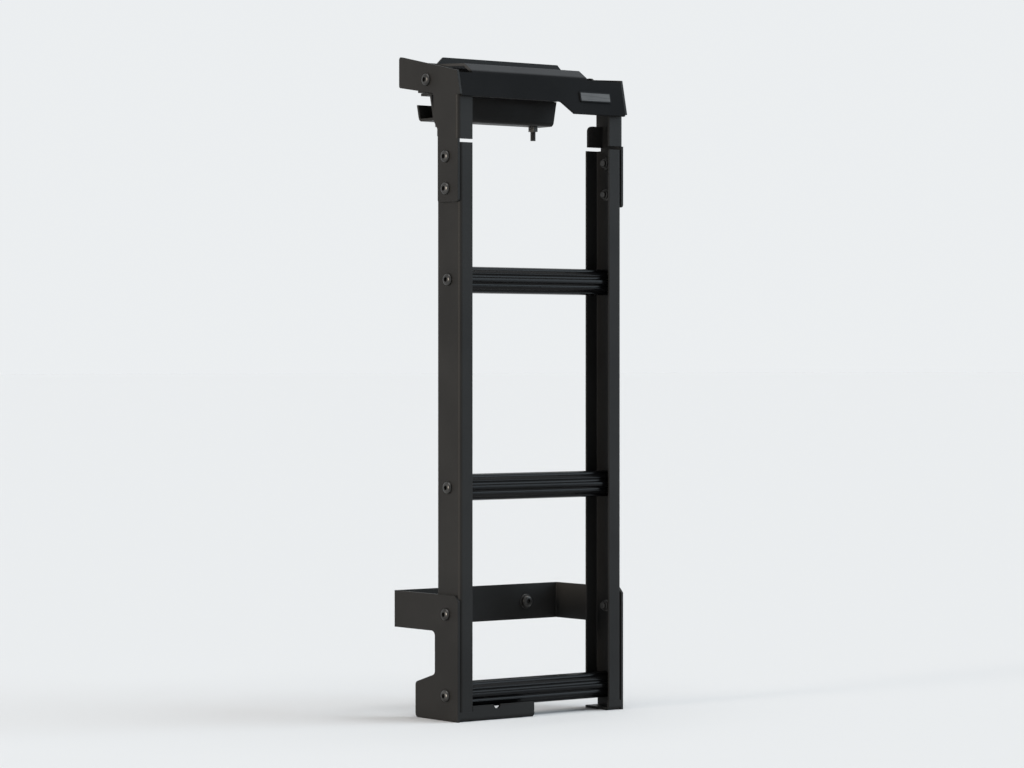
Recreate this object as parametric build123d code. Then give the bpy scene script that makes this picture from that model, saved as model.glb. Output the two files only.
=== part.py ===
from build123d import *
import os

# Vehicle ladder, millimetres. While it is modelled X runs across the ladder with 0 in its middle,
# Y runs from the front of the stiles towards the vehicle and Z up from the foot. At export it moves
# so that the origin lies in the middle of the strap's back face, where it bolts to the body.

# Stiles
stile_span = 230.0
stile_depth = 43.0
stile_flange = 17.5
stile_sheet = 2.5
stile_bottom = 11.0
stile_top = 639.0

# Rungs
rung_count = 3
rung_pitch = 230.0
rung_first = 28.0
rung_radius = 15.0
rung_ridges = 10
flute_radius = 2.6
flute_depth = 2.0
ridge_round = 0.7
rung_wall = 2.2
boss_radius = 6.5
boss_core = 3.4
rung_rib = 2.4
rung_ribs = 3

# Sheet of every bracket, and the holes for M8 bolts
sheet = 3.0
bend = 1.5
bolt_hole = 4.5
corner_round = 3.0

# Head brackets
head_foot = 573.5
head_back = 37.0
head_bolts = (588.5, 624.0)
head_gap = 3.8
head_step = 8.0
head_step_low = 654.0
head_step_high = 665.0
head_step_round = 5.0
head_tab_reach = 20.5
head_tab_top = 667.0
head_tab_round = 6.0
flange_cover = 1.5
arm_reach = 110.0
arm_root_low = 695.0
arm_end_low = 705.0
left_arm_high = 740.0
right_arm_high = 727.0
arm_bolt_y = 57.5
arm_bolt_z = 711.0

# Header plate
header_low = 677.0
header_low_y = -7.5
header_high = 718.0
header_high_y = 1.5
header_edge = 716.0
header_shallow = 690.0
header_cut_start = 24.0
header_cut_end = 41.5
header_cut_round = 5.0
header_brow_y = 16.0
header_brow_z = 727.5
header_top_rise = 3.0
header_top_clear = 0.5
header_left_inset = 18.0
header_right_inset = 49.0

# Badge plate
badge_size = (45.0, 12.0)
badge_inset = 19.0
badge_z = 696.5
badge_thick = 1.5
badge_round = 2.0

# Gutter bracket
gutter_plate_y = 75.0
gutter_shelf = 697.5
gutter_shelf_half = 86.0
gutter_shelf_reach = 112.0
gutter_plate_top = 731.5
gutter_middle_top = 739.0
gutter_middle_half = 81.5
gutter_middle_foot = 89.5
ear_front = 48.0
ear_top = 724.0
ear_round = 6.0

# Gutter jaw
jaw_low_half = 85.0
jaw_high_half = 90.0
jaw_low = 669.0
jaw_front = 87.0
jaw_back = 117.0
jaw_lip = 687.5

# Clamp screws, M6
screw_spacing = 134.0
screw_y = 102.0
screw_radius = 3.0
screw_hole = 3.4
screw_head_high = 4.0
screw_head_across = 10.0
screw_head_chamfer = 0.6
screw_end = 652.5
nut_high = 6.0
hex_sides = 6
thread_clear = 0.05

# Lower bracket
strap_back = 122.0
strap_mid = 119.0
strap_high = 41.0
body_bolt_spacing = 140.0
side_back = 42.5
side_lap = 10.0
side_inner_round = 6.0
side_corner_cut = 6.0
side_bolt = 118.0
foot_end = 79.0
foot_root_high = 50.5
foot_end_high = 39.5
foot_round = 5.0
shelf_left_end = -11.0
lip_high = 17.0
lip_stile_gap = 0.5
lip_notch_x = -63.0
lip_notch = 4.5

half_span = stile_span / 2
outside = half_span + sheet
bolt_y = stile_depth / 2
fold = bend + sheet
rung_heights = [rung_first + rung_pitch * i for i in range(rung_count)]
screw_places = (-screw_spacing / 2, screw_spacing / 2)
header_lean = (header_high_y - header_low_y) / (header_high - header_low)
to_mount = Pos(0, -strap_back, -strap_mid)


def header_front(z):
    return header_low_y + header_lean * (z - header_low)


def header_plane(x, z):
    return Plane((x, header_front(z), z), x_dir=(1, 0, 0), z_dir=(0, -1, header_lean))


def side_plate(face, x_from, thick):
    return extrude(Plane.YZ.offset(x_from) * face, thick)


def cross_holes(points, x_from, thick):
    holes = Sketch() + [Pos(y, z) * Circle(bolt_hole) for y, z in points]
    return side_plate(holes, x_from, thick)


def folded(points, thick, side=Side.RIGHT):
    path = FilletPolyline(*points, radius=bend + thick)
    return make_face(offset(path, thick, side=side))


def outline(points, rounds):
    face = make_face(Polyline(*points, close=True))
    for point, radius in rounds.items():
        face = fillet(face.vertices().sort_by_distance((*point, 0))[0], radius)
    return face


def save(part, name):
    part = to_mount * part
    part.label = name
    export_step(part, f"parts/{name}.step")


def stile():
    profile = folded(
        [
            (-half_span + stile_flange, 0),
            (-half_span, 0),
            (-half_span, stile_depth),
            (-half_span + stile_flange, stile_depth),
        ],
        stile_sheet,
    )
    body = extrude(Plane.XY.offset(stile_bottom) * profile, stile_top - stile_bottom)
    heights = [*rung_heights, *head_bolts, side_bolt]
    return body - cross_holes([(bolt_y, z) for z in heights], -half_span, stile_sheet)


def rung():
    groove_at = rung_radius - flute_depth + flute_radius
    half_pitch = 180 / rung_ridges
    grooves = PolarLocations(groove_at, rung_ridges, start_angle=half_pitch)
    skin = Circle(rung_radius) - [spot * Circle(flute_radius) for spot in grooves]
    skin = fillet(skin.vertices(), ridge_round)
    inner = rung_radius - flute_depth - rung_wall
    rib_end = inner + rung_wall / 2
    ribs = Sketch() + [
        Rot(0, 0, 360 / rung_ribs * i) * Pos(rib_end / 2, 0) * Rectangle(rib_end, rung_rib)
        for i in range(rung_ribs)
    ]
    section = (skin - Circle(inner)) + ribs + Circle(boss_radius) - Circle(boss_core)
    inside = half_span - stile_sheet
    across = Plane((-inside, 0, 0), x_dir=(0, -1, 0), z_dir=(1, 0, 0))
    return extrude(across * section, 2 * inside)


def head_bracket(header_bottom, arm_end_high):
    # side plate with its arm, then the flange and the tab folded in above the stile
    leg_low = stile_top + head_gap
    cover_top = header_bottom + flange_cover
    wide = head_back + head_step
    points = [
        (0, head_foot),
        (0, leg_low),
        (fold, leg_low),
        (fold, cover_top),
        (header_front(cover_top), cover_top),
        (header_high_y, header_high),
        (arm_reach, arm_end_high),
        (arm_reach, arm_end_low),
        (wide, arm_root_low),
        (wide, head_step_high),
        (head_back, head_step_low),
        (head_back, head_foot),
    ]
    rounds = {
        (arm_reach, arm_end_high): corner_round,
        (arm_reach, arm_end_low): corner_round,
        (wide, arm_root_low): corner_round,
        (wide, head_step_high): head_step_round,
        (head_back, head_step_low): head_step_round,
        (head_back, head_foot): corner_round,
        (0, head_foot): corner_round,
    }
    plate = side_plate(outline(points, rounds), -outside, sheet)
    holes = [(bolt_y, z) for z in head_bolts] + [(arm_bolt_y, arm_bolt_z)]
    plate -= cross_holes(holes, -outside, sheet)

    flange_x = -half_span + stile_flange
    front = folded([(flange_x, 0), (-outside, 0), (-outside, bolt_y)], sheet)
    front = extrude(Plane.XY.offset(leg_low) * front, cover_top - leg_low)
    tab_edge = -half_span + head_tab_reach
    tab_points = [
        (-half_span, leg_low),
        (tab_edge, leg_low),
        (tab_edge, head_tab_top),
        (-half_span, head_tab_top),
    ]
    tab = outline(tab_points, {tab_points[2]: head_tab_round})
    return plate + front + extrude(Plane.XZ.offset(-head_back) * tab, sheet)


def header_plate():
    slope = (1 + header_lean**2) ** 0.5

    def up(z):
        return (z - header_low) * slope

    points = [
        (-half_span, up(header_shallow)),
        (header_cut_start, up(header_shallow)),
        (header_cut_end, 0),
        (half_span, 0),
        (half_span, up(header_edge)),
        (-half_span, up(header_edge)),
    ]
    rounds = {points[1]: header_cut_round, points[4]: corner_round}
    front = extrude(header_plane(0, header_low) * outline(points, rounds), -sheet)
    hood = folded(
        [
            (header_front(header_shallow), header_shallow),
            (header_high_y, header_high),
            (header_brow_y, header_brow_z),
            (gutter_plate_y - header_top_clear, header_brow_z + header_top_rise),
        ],
        sheet,
    )
    hood_width = stile_span - header_left_inset - header_right_inset
    return front + side_plate(hood, header_left_inset - half_span, hood_width)


def badge_plate():
    x = half_span - badge_inset - badge_size[0] / 2
    return extrude(header_plane(x, badge_z) * RectangleRounded(*badge_size, badge_round), badge_thick)


def screw_bores(z):
    return [Pos(x, screw_y, z + sheet / 2) * Cylinder(screw_hole, 2 * sheet) for x in screw_places]


def gutter_bracket():
    points = [
        (-half_span, gutter_shelf),
        (-half_span, gutter_plate_top),
        (-gutter_middle_foot, gutter_plate_top),
        (-gutter_middle_half, gutter_middle_top),
        (gutter_middle_half, gutter_middle_top),
        (gutter_middle_foot, gutter_plate_top),
        (half_span, gutter_plate_top),
        (half_span, gutter_shelf),
    ]
    plate = extrude(Plane.XZ.offset(-gutter_plate_y - sheet) * outline(points, {}), sheet)
    deep = gutter_shelf_reach - gutter_plate_y
    middle = (0, gutter_plate_y + deep / 2, gutter_shelf + sheet / 2)
    shelf = Pos(*middle) * Box(2 * gutter_shelf_half, deep, sheet)
    ear_back = gutter_plate_y + sheet
    ear_points = [
        (ear_front, gutter_shelf),
        (ear_front, ear_top),
        (ear_back, ear_top),
        (ear_back, gutter_shelf),
    ]
    ear = outline(ear_points, {ear_points[1]: ear_round})
    ear = side_plate(ear, -half_span, sheet)
    ear -= cross_holes([(arm_bolt_y, arm_bolt_z)], -half_span, sheet)
    return plate + shelf + ear + mirror(ear, about=Plane.YZ) - screw_bores(gutter_shelf)


def gutter_jaw():
    # U section: the tall front wall bears on the shelf, the back lip presses up under the gutter
    section = folded(
        [(jaw_front, gutter_shelf), (jaw_front, jaw_low), (jaw_back, jaw_low), (jaw_back, jaw_lip)],
        sheet,
        Side.LEFT,
    )
    body = side_plate(section, -jaw_high_half, 2 * jaw_high_half)
    ends = Polyline(
        (-jaw_low_half, jaw_low),
        (-jaw_high_half, gutter_shelf),
        (jaw_high_half, gutter_shelf),
        (jaw_low_half, jaw_low),
        close=True,
    )
    body &= extrude(Plane.XZ.offset(-jaw_back) * make_face(ends), jaw_back - jaw_front)
    return body - screw_bores(jaw_low)


def clamp_screw(x):
    top = gutter_shelf + sheet
    head = RegularPolygon(screw_head_across / 2, hex_sides, major_radius=False)
    head = extrude(Plane((x, screw_y, top)) * head, screw_head_high)
    head = chamfer(head.faces().sort_by(Axis.Z)[-1].edges(), screw_head_chamfer)
    return head + extrude(Plane((x, screw_y, screw_end)) * Circle(screw_radius), top - screw_end)


def clamp_nut(x):
    ring = RegularPolygon(screw_head_across / 2, hex_sides, major_radius=False)
    ring -= Circle(screw_radius + thread_clear)
    return extrude(Plane((x, screw_y, jaw_low - nut_high)) * ring, nut_high)


def lower_side(with_foot):
    low, high = strap_mid - strap_high / 2, strap_mid + strap_high / 2
    arm_root = side_back + side_lap
    points = [(0, 0), (0, high), (arm_root, high), (arm_root, low), (side_back, low)]
    rounds = {(side_back, low): side_inner_round}
    if with_foot:
        points += [(side_back, foot_root_high), (foot_end, foot_end_high), (foot_end, 0)]
        rounds |= {point: foot_round for point in points[-3:]}
    else:
        points += [(side_back, 0)]
    face = outline(points, rounds)
    return chamfer(face.vertices().sort_by_distance((0, high, 0))[0], side_corner_cut)


def lower_bracket():
    low = strap_mid - strap_high / 2
    belt_root = side_back + side_lap
    belt = folded(
        [(outside, belt_root), (outside, strap_back), (-outside, strap_back), (-outside, belt_root)],
        sheet,
        Side.LEFT,
    )
    body = extrude(Plane.XY.offset(low) * belt, strap_high)
    body += side_plate(lower_side(True), -outside, sheet)
    body += side_plate(lower_side(False), half_span, sheet)
    holes = [(bolt_y, side_bolt), (bolt_y, rung_first)]
    body -= cross_holes(holes, -outside, sheet) + cross_holes(holes, half_span, sheet)

    # shelf under the stiles with its upright lip, lower in front of the stiles
    stile_edge = -half_span + stile_flange + lip_stile_gap
    tall = folded([(side_back, 0), (0, 0), (0, lip_high)], sheet)
    short = folded([(side_back, 0), (0, 0), (0, stile_bottom)], sheet)
    lip = side_plate(tall, stile_edge, shelf_left_end - stile_edge)
    lip -= Pos(lip_notch_x, sheet / 2, lip_high) * Rot(90, 0, 0) * Cylinder(lip_notch, 2 * sheet)
    under_stile = side_plate(short, -half_span, stile_edge + half_span)
    body += lip + under_stile + mirror(under_stile, about=Plane.YZ)
    for x in (-body_bolt_spacing / 2, body_bolt_spacing / 2):
        body -= Pos(x, strap_back - sheet / 2, strap_mid) * Rot(90, 0, 0) * Cylinder(bolt_hole, 2 * sheet)
    return body


os.makedirs("parts", exist_ok=True)

left_stile = stile()
save(left_stile, "left_stile")
save(mirror(left_stile, about=Plane.YZ), "right_stile")

for name, height in zip(("lower_rung", "middle_rung", "upper_rung"), rung_heights):
    save(Pos(0, bolt_y, height) * rung(), name)

save(head_bracket(header_shallow, left_arm_high), "left_head_bracket")
save(mirror(head_bracket(header_low, right_arm_high), about=Plane.YZ), "right_head_bracket")
save(header_plate(), "header_plate")
save(badge_plate(), "badge_plate")

save(gutter_bracket(), "gutter_bracket")
save(gutter_jaw(), "gutter_jaw")
for hand, x in zip(("left", "right"), screw_places):
    save(clamp_screw(x), f"{hand}_clamp_screw")
    save(clamp_nut(x), f"{hand}_clamp_nut")

save(lower_bracket(), "lower_bracket")
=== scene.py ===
import math

import bmesh
import bpy
from mathutils import Matrix, Vector


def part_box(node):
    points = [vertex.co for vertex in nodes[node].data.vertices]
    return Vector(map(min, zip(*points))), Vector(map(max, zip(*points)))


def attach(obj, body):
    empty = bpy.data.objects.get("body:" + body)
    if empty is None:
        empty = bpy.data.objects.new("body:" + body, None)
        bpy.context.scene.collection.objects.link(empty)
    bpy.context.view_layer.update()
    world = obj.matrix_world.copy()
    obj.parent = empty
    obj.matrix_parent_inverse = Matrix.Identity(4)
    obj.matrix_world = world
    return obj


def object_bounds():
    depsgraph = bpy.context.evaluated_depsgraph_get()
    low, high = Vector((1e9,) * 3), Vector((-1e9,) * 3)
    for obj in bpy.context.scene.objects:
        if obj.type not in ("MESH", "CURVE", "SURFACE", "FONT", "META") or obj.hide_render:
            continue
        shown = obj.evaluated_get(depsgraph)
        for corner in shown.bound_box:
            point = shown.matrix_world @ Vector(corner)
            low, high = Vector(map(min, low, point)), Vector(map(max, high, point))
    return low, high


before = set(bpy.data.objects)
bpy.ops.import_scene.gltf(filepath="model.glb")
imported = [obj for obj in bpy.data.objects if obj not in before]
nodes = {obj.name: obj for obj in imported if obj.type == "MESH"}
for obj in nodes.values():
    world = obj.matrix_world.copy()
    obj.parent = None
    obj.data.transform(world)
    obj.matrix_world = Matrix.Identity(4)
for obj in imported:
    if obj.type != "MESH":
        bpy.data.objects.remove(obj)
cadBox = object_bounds()
print("frame loaded:", len(nodes), "nodes")


# Helpers for modelling by operators

quarter = math.radians(90)
smoothAngle = math.radians(35)
hexSides = 6
flatLimit = 0.9


def clearSelection():
    if bpy.context.object and bpy.context.object.mode != "OBJECT":
        bpy.ops.object.mode_set(mode="OBJECT")
    bpy.ops.object.select_all(action="DESELECT")


def activate(piece):
    clearSelection()
    piece.select_set(True)
    bpy.context.view_layer.objects.active = piece


def addCylinder(sides, radius, high, low):
    # its origin stays at its middle, so a copy laid on a sheet sits half of high into it
    clearSelection()
    middle = (0, 0, low + high / 2)
    bpy.ops.mesh.primitive_cylinder_add(vertices=sides, radius=radius, depth=high, location=middle)
    return bpy.context.object


def pickFlat(piece, side):
    # leaves the piece in edit mode with its flat top (1) or bottom (-1) selected
    activate(piece)
    bpy.ops.object.mode_set(mode="EDIT")
    bpy.ops.mesh.select_mode(type="FACE")
    bpy.ops.mesh.select_all(action="DESELECT")
    mesh = bmesh.from_edit_mesh(piece.data)
    mesh.normal_update()
    for face in mesh.faces:
        face.select_set(face.normal.z * side > flatLimit)
    bmesh.update_edit_mesh(piece.data)


def drawOut(lift, shrink):
    # extrudes the picked face and narrows it
    bpy.ops.mesh.extrude_region_move(TRANSFORM_OT_translate={"value": (0, 0, lift)})
    bpy.ops.transform.resize(value=(shrink, shrink, 1))


def applyModifier(piece, kind, name, **settings):
    activate(piece)
    modifier = piece.modifiers.new(name, kind)
    for key, value in settings.items():
        setattr(modifier, key, value)
    bpy.ops.object.modifier_apply(modifier=name)


def joinAll(first, others):
    activate(first)
    for other in others:
        other.select_set(True)
    bpy.ops.object.join()


def placeCopy(source, name, location, turn):
    activate(source)
    bpy.ops.object.duplicate(linked=False)
    piece = bpy.context.object
    piece.name = name
    piece.rotation_euler = turn
    piece.location = location
    bpy.ops.object.transform_apply(location=True, rotation=True, scale=True)
    return piece


def smoothEdges(piece):
    activate(piece)
    bpy.ops.object.shade_smooth_by_angle(angle=smoothAngle)


# Shader maths: a socket that adds Math nodes when it is used in an expression

class Wire:
    def __init__(self, finish, socket):
        self.finish = finish
        self.socket = socket

    def math(self, operation, first, second):
        return self.finish.node("ShaderNodeMath", {"operation": operation}, {0: first, 1: second})

    def __add__(self, other):
        return self.math("ADD", self, other)

    def __sub__(self, other):
        return self.math("SUBTRACT", self, other)

    def __rsub__(self, other):
        return self.math("SUBTRACT", other, self)

    def __mul__(self, other):
        return self.math("MULTIPLY", self, other)

    def __gt__(self, other):
        return self.math("GREATER_THAN", self, other)

    def __lt__(self, other):
        return self.math("LESS_THAN", self, other)

    def __abs__(self):
        return self.math("ABSOLUTE", self, 0.0)

    __radd__ = __add__
    __rmul__ = __mul__


class Finish:
    def __init__(self, name, owner=None):
        self.target = owner or bpy.data.materials.new(name)
        self.target.use_nodes = True
        self.tree = self.target.node_tree
        self.tree.nodes.clear()

    def node(self, kind, settings=None, inputs=None, output=0):
        made = self.tree.nodes.new(kind)
        for key, value in (settings or {}).items():
            setattr(made, key, value)
        for key, value in (inputs or {}).items():
            if isinstance(value, Wire):
                self.tree.links.new(value.socket, made.inputs[key])
            else:
                made.inputs[key].default_value = value
        return Wire(self, made.outputs[output])

    def noise(self, coords, scale, detail=2.0):
        values = {"Vector": coords, "Scale": scale, "Detail": detail}
        return self.node("ShaderNodeTexNoise", None, values)

    def relief(self, tone, height, normal=None):
        values = {"Strength": tone["bump"], "Distance": tone["bumpDepth"], "Height": height}
        if normal is not None:
            values["Normal"] = normal
        return self.node("ShaderNodeBump", None, values)

    def mixColour(self, factor, first, second):
        # sockets 6 and 7 and output 2 are the node's colours
        settings = {"data_type": "RGBA"}
        return self.node("ShaderNodeMix", settings, {0: factor, 6: first, 7: second}, output=2)

    def clamp(self, value, low, high):
        inputs = {"Value": value, "From Min": low, "From Max": high}
        return self.node("ShaderNodeMapRange", {"clamp": True}, inputs)

    def axis(self, coords, letter):
        return self.node("ShaderNodeSeparateXYZ", None, {"Vector": coords}, output=letter)

    def surface(self, inputs):
        shader = self.node("ShaderNodeBsdfPrincipled", None, inputs)
        out = self.tree.nodes.new("ShaderNodeOutputMaterial")
        self.tree.links.new(shader.socket, out.inputs["Surface"])
        return self.target


# Finishes

noiseMiddle = 0.5


def around(value, swing, spread):
    # lets a noise sway a value to both sides
    return value + (swing - noiseMiddle) * spread


coat = {
    "dark": (0.0150, 0.0146, 0.0142, 1),
    "pale": (0.0205, 0.0200, 0.0194, 1),
    "roughness": 0.46,
    "roughnessSpread": 0.10,
    "specular": 0.09,
    "cloudScale": 14.0,
    "cloudDetail": 3.0,
    "cloudRange": (0.35, 0.7),
    "peelScale": 420.0,
    "peelShare": 0.6,
    "grainScale": 1500.0,
    "grainDetail": 1.0,
    "grainShare": 0.4,
    "bump": 0.10,
    "bumpDepth": 0.0004,
    "edgeRadius": 0.0007,
    "edgeSamples": 4,
}


def powderCoat(name, tone):
    # satin coat with a fine peel, softened edges and, where asked, a painted sheen with dusty patches above a
    # height
    finish = Finish(name)
    coords = finish.node("ShaderNodeTexCoord", output="Object")
    cloud = finish.noise(coords, tone["cloudScale"], tone["cloudDetail"])
    peel = finish.noise(coords, tone["peelScale"])
    grain = finish.noise(coords, tone["grainScale"], tone["grainDetail"])
    edge = finish.node("ShaderNodeBevel", {"samples": tone["edgeSamples"]}, {"Radius": tone["edgeRadius"]})
    bump = finish.relief(tone, peel * tone["peelShare"] + grain * tone["grainShare"], edge)
    colour = finish.mixColour(finish.clamp(cloud, *tone["cloudRange"]), tone["dark"], tone["pale"])
    if "dustAndSheenFrom" in tone:
        # painted sheen: above this height the coat is mixed towards a lighter colour, broken into dusty
        # patches
        height = finish.axis(coords, "Z")
        dustAndSheenBand = finish.clamp(height, tone["dustAndSheenFrom"], tone["dustAndSheenFrom"] + tone["dustAndSheenFade"])
        dustAndSheenShare = tone["dustAndSheenCover"] + cloud * tone["dustAndSheenPatches"]
        colour = finish.mixColour(dustAndSheenBand * dustAndSheenShare, colour, tone["dustAndSheen"])
    rough = around(tone["roughness"], peel, tone["roughnessSpread"])
    rough = around(rough, cloud, tone["roughnessSpread"])
    return finish.surface(
        {"Base Color": colour, "Roughness": rough, "Specular IOR Level": tone["specular"], "Normal": bump}
    )


rungCoat = {
    "dark": (0.0028, 0.0028, 0.0030, 1),
    "pale": (0.0052, 0.0052, 0.0055, 1),
    "roughness": 0.22,
    "roughnessSpread": 0.10,
    "specular": 0.11,
    "stretch": (0.02, 1.0, 1.0),
    "lineScale": 900.0,
    "lineShare": 0.6,
    "cloudScale": 18.0,
    "cloudDetail": 3.0,
    "cloudShare": 0.4,
    "toneRange": (0.35, 0.65),
    "bump": 0.12,
    "bumpDepth": 0.0002,
}


def drawnBlack(name, tone):
    # extruded bar with faint die lines along its length
    finish = Finish(name)
    coords = finish.node("ShaderNodeTexCoord", output="Object")
    along = finish.node("ShaderNodeMapping", None, {"Vector": coords, "Scale": tone["stretch"]})
    lines = finish.noise(along, tone["lineScale"])
    cloud = finish.noise(coords, tone["cloudScale"], tone["cloudDetail"])
    bump = finish.relief(tone, lines)
    blend = finish.clamp(lines * tone["lineShare"] + cloud * tone["cloudShare"], *tone["toneRange"])
    colour = finish.mixColour(blend, tone["dark"], tone["pale"])
    rough = around(tone["roughness"], lines, tone["roughnessSpread"])
    return finish.surface(
        {"Base Color": colour, "Roughness": rough, "Specular IOR Level": tone["specular"], "Normal": bump}
    )


plating = {
    "spotScale": 700.0,
    "spotDetail": 3.0,
    "cloudScale": 120.0,
    "cloudRange": (0.3, 0.7),
    "roughnessSpread": 0.2,
    "bump": 0.08,
    "bumpDepth": 0.0002,
}
boltFinish = plating | {
    "dark": (0.034, 0.033, 0.032, 1),
    "pale": (0.075, 0.073, 0.070, 1),
    "roughness": 0.32,
    "metallic": 0.9,
}
nutFinish = plating | {
    "dark": (0.030, 0.029, 0.028, 1),
    "pale": (0.060, 0.058, 0.055, 1),
    "roughness": 0.42,
    "metallic": 0.8,
}
screwThread = {"scale": 314.0, "bump": 0.7, "bumpDepth": 0.0004}


def platedMetal(name, tone, threadTop=None):
    # plated steel with fine spots, and turns of thread below threadTop
    finish = Finish(name)
    coords = finish.node("ShaderNodeTexCoord", output="Object")
    spots = finish.noise(coords, tone["spotScale"], tone["spotDetail"])
    cloud = finish.noise(coords, tone["cloudScale"])
    colour = finish.mixColour(finish.clamp(cloud, *tone["cloudRange"]), tone["dark"], tone["pale"])
    bump = finish.relief(tone, spots)
    if threadTop is not None:
        bands = {"wave_type": "BANDS", "bands_direction": "Z"}
        values = {"Vector": coords, "Scale": screwThread["scale"]}
        turns = finish.node("ShaderNodeTexWave", bands, values, output=1)
        bump = finish.relief(screwThread, turns * (finish.axis(coords, "Z") < threadTop), bump)
    rough = around(tone["roughness"], spots, tone["roughnessSpread"])
    return finish.surface(
        {"Base Color": colour, "Roughness": rough, "Metallic": tone["metallic"], "Normal": bump}
    )


badgeFinish = {
    "dark": (0.085, 0.085, 0.085, 1),
    "pale": (0.130, 0.130, 0.130, 1),
    "paintedEdgeShadow": (0.006, 0.006, 0.006, 1),
    "paintedEdgeShadowWide": 0.0016,
    "stretch": (0.03, 1.0, 1.0),
    "lineScale": 1200.0,
    "lineRange": (0.35, 0.65),
    "roughness": 0.50,
    "roughnessSpread": 0.2,
    "specular": 0.06,
    "bump": 0.08,
    "bumpDepth": 0.0002,
}


def brushedBadge(name, tone):
    # bare plate brushed along its length, with a painted shadow as a dark band along its edges
    finish = Finish(name)
    low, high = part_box("badge_plate")
    middle = (low + high) / 2
    half = (high - low) / 2
    coords = finish.node("ShaderNodeTexCoord", output="Object")
    along = finish.node("ShaderNodeMapping", None, {"Vector": coords, "Scale": tone["stretch"]})
    lines = finish.noise(along, tone["lineScale"])
    colour = finish.mixColour(finish.clamp(lines, *tone["lineRange"]), tone["dark"], tone["pale"])
    # painted shadow: a dark band of the given width along the plate's edges
    across = abs(finish.axis(coords, "X") - middle.x) > half.x - tone["paintedEdgeShadowWide"]
    upward = abs(finish.axis(coords, "Z") - middle.z) > half.z - tone["paintedEdgeShadowWide"]
    paintedEdgeShadow = finish.clamp(across + upward, 0.0, 1.0)
    colour = finish.mixColour(paintedEdgeShadow, colour, tone["paintedEdgeShadow"])
    bump = finish.relief(tone, lines)
    rough = around(tone["roughness"], lines, tone["roughnessSpread"])
    return finish.surface(
        {"Base Color": colour, "Roughness": rough, "Specular IOR Level": tone["specular"], "Normal": bump}
    )


# the hood starts this far below the top of the gutter bracket
hoodDrop = 0.0212
shadedHeaderTone = coat | {
    # painted shade: the header plate gets a darker copy of the stile coat
    "dark": (0.0080, 0.0082, 0.0086, 1),
    "pale": (0.0115, 0.0118, 0.0123, 1),
    "roughness": 0.62,
    "specular": 0.03,
    # painted sheen on the hood strip above the given height, broken into dusty patches
    "dustAndSheen": (0.054, 0.055, 0.057, 1),
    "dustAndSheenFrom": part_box("gutter_bracket")[1].z - hoodDrop,
    "dustAndSheenFade": 0.0025,
    "dustAndSheenCover": 0.7,
    "dustAndSheenPatches": 0.6,
}
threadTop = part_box("gutter_jaw")[1].z
coatBlack = powderCoat("powderCoatBlack", coat)
rungBlack = drawnBlack("rungBlack", rungCoat)
boltMetal = platedMetal("boltPlated", boltFinish)
nutMetal = platedMetal("nutPlated", nutFinish)
screwMetal = platedMetal("screwPlated", nutFinish, threadTop)
shadedHeaderCoat = powderCoat("headerCoatShaded", shadedHeaderTone)
badgeMetal = brushedBadge("badgePlain", badgeFinish)


def dress(piece, material):
    piece.data.materials.clear()
    piece.data.materials.append(material)


for name, piece in nodes.items():
    if name.endswith("rung"):
        dress(piece, rungBlack)
    elif name == "badge_plate":
        dress(piece, badgeMetal)
    elif name == "header_plate":
        dress(piece, shadedHeaderCoat)
    elif name.endswith("screw"):
        dress(piece, screwMetal)
    elif name.endswith("nut"):
        dress(piece, nutMetal)
    else:
        dress(piece, coatBlack)
print("finishes on")


# Button-head bolts with a hexagon socket

buttonBolt = {
    "headRadius": 0.007,
    "headHigh": 0.0044,
    "rimHigh": 0.0009,
    "crownRadius": 0.0036,
    "socketAcross": 0.005,
    "socketDeep": 0.0028,
    "shankRadius": 0.004,
    "shankLong": 0.0055,
    "domeSteps": 6,
    "roundSides": 40,
}


def makeButtonBolt(size):
    bolt = addCylinder(size["roundSides"], size["headRadius"], size["rimHigh"], 0.0)
    pickFlat(bolt, 1)
    rise = size["headHigh"] - size["rimHigh"]
    overhang = size["headRadius"] - size["crownRadius"]
    radius = size["headRadius"]
    for step in range(size["domeSteps"]):
        before, turn = (quarter * count / size["domeSteps"] for count in (step, step + 1))
        wide = size["crownRadius"] + overhang * math.cos(turn)
        drawOut(rise * (math.sin(turn) - math.sin(before)), wide / radius)
        radius = wide
    pickFlat(bolt, -1)
    bpy.ops.mesh.inset(thickness=size["headRadius"] - size["shankRadius"])
    bpy.ops.mesh.extrude_region_move(TRANSFORM_OT_translate={"value": (0, 0, -size["shankLong"])})
    socketRadius = size["socketAcross"] / 2 / math.cos(math.pi / hexSides)
    socketFloor = size["headHigh"] - size["socketDeep"]
    cutter = addCylinder(hexSides, socketRadius, 2 * size["socketDeep"], socketFloor)
    applyModifier(bolt, "BOOLEAN", "socket", object=cutter, operation="DIFFERENCE", solver="EXACT")
    bpy.data.objects.remove(cutter)
    smoothEdges(bolt)
    dress(bolt, boltMetal)
    return bolt


# Lock nuts with the bolt's end standing out

lockNut = {
    "across": 0.013,
    "hexHigh": 0.0062,
    "collarRadius": 0.0056,
    "collarHigh": 0.0016,
    "endRadius": 0.004,
    "endHigh": 0.0024,
    "chamfer": 0.0007,
    "crownShare": 0.6,
    "roundSides": 32,
}


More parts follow.
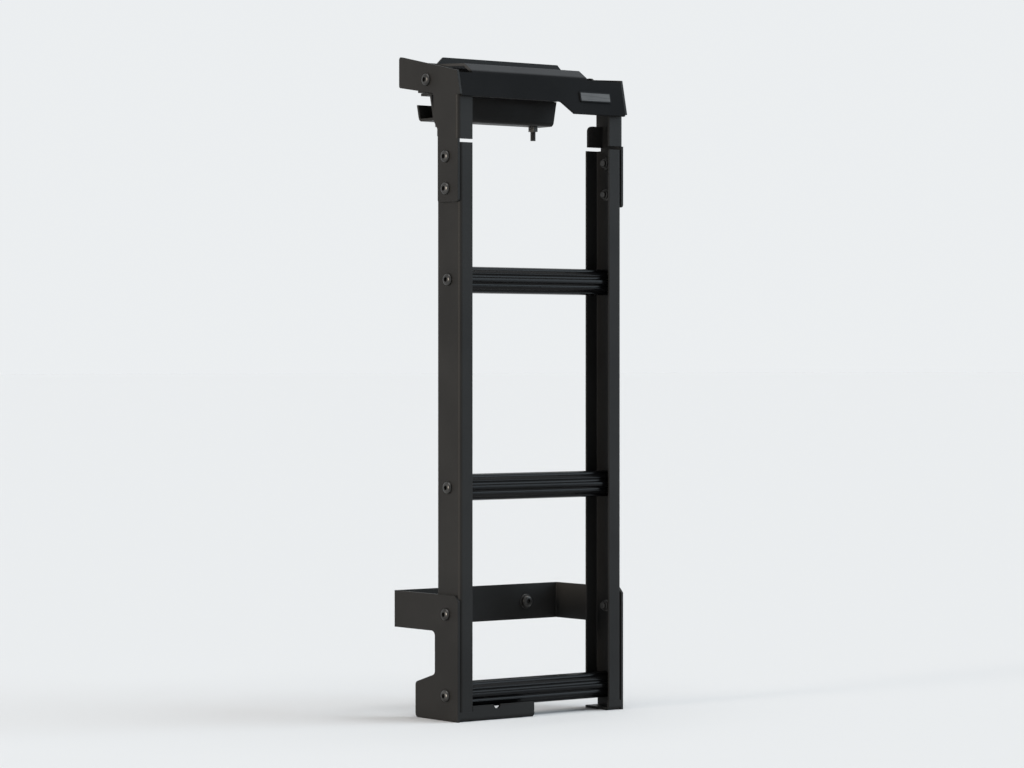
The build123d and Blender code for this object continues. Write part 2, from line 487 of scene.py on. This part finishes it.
def makeLockNut(size):
    corner = size["across"] / 2 / math.cos(math.pi / hexSides)
    crown = size["chamfer"] * size["crownShare"]
    nut = addCylinder(hexSides, corner, size["hexHigh"], 0.0)
    pickFlat(nut, 1)
    bpy.ops.mesh.inset(thickness=size["chamfer"])
    bpy.ops.transform.translate(value=(0, 0, crown))
    rings = []
    for radius, high in (
        (size["collarRadius"], size["collarHigh"]),
        (size["endRadius"], size["collarHigh"] + size["endHigh"]),
    ):
        ring = addCylinder(size["roundSides"], radius, high, size["hexHigh"] + crown)
        pickFlat(ring, 1)
        drawOut(size["chamfer"], (radius - size["chamfer"]) / radius)
        rings.append(ring)
    joinAll(nut, rings)
    smoothEdges(nut)
    dress(nut, nutMetal)
    return nut


# Body bolts: a wide washer under a button head

washer = {"radius": 0.0085, "high": 0.0016, "chamfer": 0.0004, "roundSides": 40}
bodyBolt = buttonBolt | {"shankLong": 0.0042, "fromMiddle": 0.070}


def makeWasher(size):
    ring = addCylinder(size["roundSides"], size["radius"], size["high"] - size["chamfer"], 0.0)
    pickFlat(ring, 1)
    drawOut(size["chamfer"], (size["radius"] - size["chamfer"]) / size["radius"])
    smoothEdges(ring)
    dress(ring, nutMetal)
    return ring


# Places of the fasteners: y from the stile's front, z from the floor

stileLow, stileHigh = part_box("left_stile")
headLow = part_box("left_head_bracket")[0]
webMiddle = (stileHigh.y - stileLow.y) / 2
floorLevel = cadBox[0][2]
stileSide = abs(stileLow.x)
bracketSheet = stileLow.x - headLow.x
stileSheet = 0.0025
boltPlan = {
    "headUpper": {"z": 0.624, "y": webMiddle, "outside": bracketSheet, "nutOn": stileSheet},
    "headLower": {"z": 0.5885, "y": webMiddle, "outside": bracketSheet, "nutOn": stileSheet},
    "upperRung": {"z": 0.488, "y": webMiddle, "outside": 0.0, "nutOn": None},
    "middleRung": {"z": 0.258, "y": webMiddle, "outside": 0.0, "nutOn": None},
    "strapArm": {"z": 0.118, "y": webMiddle, "outside": bracketSheet, "nutOn": stileSheet},
    "lowerRung": {"z": 0.028, "y": webMiddle, "outside": bracketSheet, "nutOn": None},
    "gutterArm": {"z": 0.711, "y": 0.0575, "outside": bracketSheet, "nutOn": bracketSheet},
}
rolls = {"step": math.radians(23), "side": math.radians(11), "nut": 0.4}
hands = ((-1, "left"), (1, "right"))


def facing(side, roll):
    # turned about its own axis first, then laid along X
    return (Matrix.Rotation(quarter * side, 4, "Y") @ Matrix.Rotation(roll, 4, "Z")).to_euler()


boltMaster = makeButtonBolt(buttonBolt)
bodyBoltMaster = makeButtonBolt(bodyBolt)
nutMaster = makeLockNut(lockNut)
washerMaster = makeWasher(washer)
fasteners = []
for index, (name, plan) in enumerate(boltPlan.items()):
    y = stileLow.y + plan["y"]
    z = floorLevel + plan["z"]
    for side, hand in hands:
        roll = rolls["step"] * index + rolls["side"] * side
        spot = (side * (stileSide + plan["outside"]), y, z)
        fasteners.append(placeCopy(boltMaster, f"{name}_{hand}_bolt", spot, facing(side, roll)))
        if plan["nutOn"] is not None:
            spot = (side * (stileSide - plan["nutOn"]), y, z)
            turn = facing(-side, roll + rolls["nut"])
            fasteners.append(placeCopy(nutMaster, f"{name}_{hand}_nut", spot, turn))

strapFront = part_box("lower_bracket")[1].y - bracketSheet
outward = (quarter, 0, 0)
for side, hand in hands:
    x = side * bodyBolt["fromMiddle"]
    ring = placeCopy(washerMaster, f"body_{hand}_washer", (x, strapFront, 0), outward)
    head = placeCopy(bodyBoltMaster, f"body_{hand}_bolt", (x, strapFront - washer["high"], 0), outward)
    dress(head, nutMetal)
    fasteners += [ring, head]

for master in (boltMaster, bodyBoltMaster, nutMaster, washerMaster):
    bpy.data.objects.remove(master)
for piece in fasteners:
    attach(piece, "root")
print("fasteners placed:", len(fasteners))


# Floor, light and camera

stage = {
    "floorSize": 200.0,
    "floorColour": (0.80, 0.80, 0.80, 1),
    "skyColour": (0.836, 0.858, 0.873, 1),
    "fillColour": (0.96, 0.98, 1.0, 1),
    "fillStrength": 0.15,
}

clearSelection()
bpy.ops.mesh.primitive_plane_add(size=stage["floorSize"], location=(0, 0, floorLevel))
floor = bpy.context.object
floor.name = "floor"
matt = {"Base Color": stage["floorColour"], "Roughness": 1.0, "Specular IOR Level": 0.0}
dress(floor, Finish("paleFloor").surface(matt))

world = bpy.data.worlds.new("studio")
bpy.context.scene.world = world
sky = Finish("studio", world)
direct = sky.node("ShaderNodeLightPath", output="Is Camera Ray")
glossy = sky.node("ShaderNodeLightPath", output="Is Glossy Ray")
through = sky.node("ShaderNodeLightPath", output="Is Transmission Ray")
seen = sky.clamp(direct + glossy + through, 0.0, 1.0)
pale = sky.node("ShaderNodeBackground", None, {"Color": stage["skyColour"], "Strength": 1.0})
weak = {"Color": stage["fillColour"], "Strength": stage["fillStrength"]}
fill = sky.node("ShaderNodeBackground", None, weak)
mixed = sky.node("ShaderNodeMixShader", None, {0: seen, 1: fill, 2: pale})
worldOut = sky.tree.nodes.new("ShaderNodeOutputWorld")
sky.tree.links.new(mixed.socket, worldOut.inputs["Surface"])

lamps = {
    "sideKey": {"towards": (-0.99, 0.0, 0.06), "spread": 12, "strength": 3.2, "colour": (1.0, 0.90, 0.78)},
    "frontFill": {"towards": (0.72, -0.62, 0.30), "spread": 50, "strength": 2.1, "colour": (0.74, 0.89, 1.0)},
    "topSoft": {"towards": (0.10, -0.15, 1.0), "spread": 60, "strength": 2.15, "colour": (1.0, 1.0, 1.0)},
}
for name, lamp in lamps.items():
    bpy.ops.object.light_add(type="SUN", location=lamp["towards"])
    light = bpy.context.object
    light.name = name
    light.data.energy = lamp["strength"]
    light.data.angle = math.radians(lamp["spread"])
    light.data.color = lamp["colour"]
    light.rotation_euler = (-Vector(lamp["towards"])).to_track_quat("-Z", "Y").to_euler()

view = {"place": (-2.3200, -3.0670, 0.2770), "aim": (0.0, -0.0670, 0.2530), "lens": 117.6, "sensor": 36.0}
bpy.ops.object.camera_add(location=view["place"])
camera = bpy.context.object
camera.name = "camera"
camera.data.sensor_width = view["sensor"]
camera.data.lens = view["lens"]
camera.rotation_euler = (Vector(view["aim"]) - Vector(view["place"])).to_track_quat("-Z", "Y").to_euler()
bpy.context.scene.camera = camera
bpy.context.scene.view_settings.view_transform = "Standard"
print("stage set")
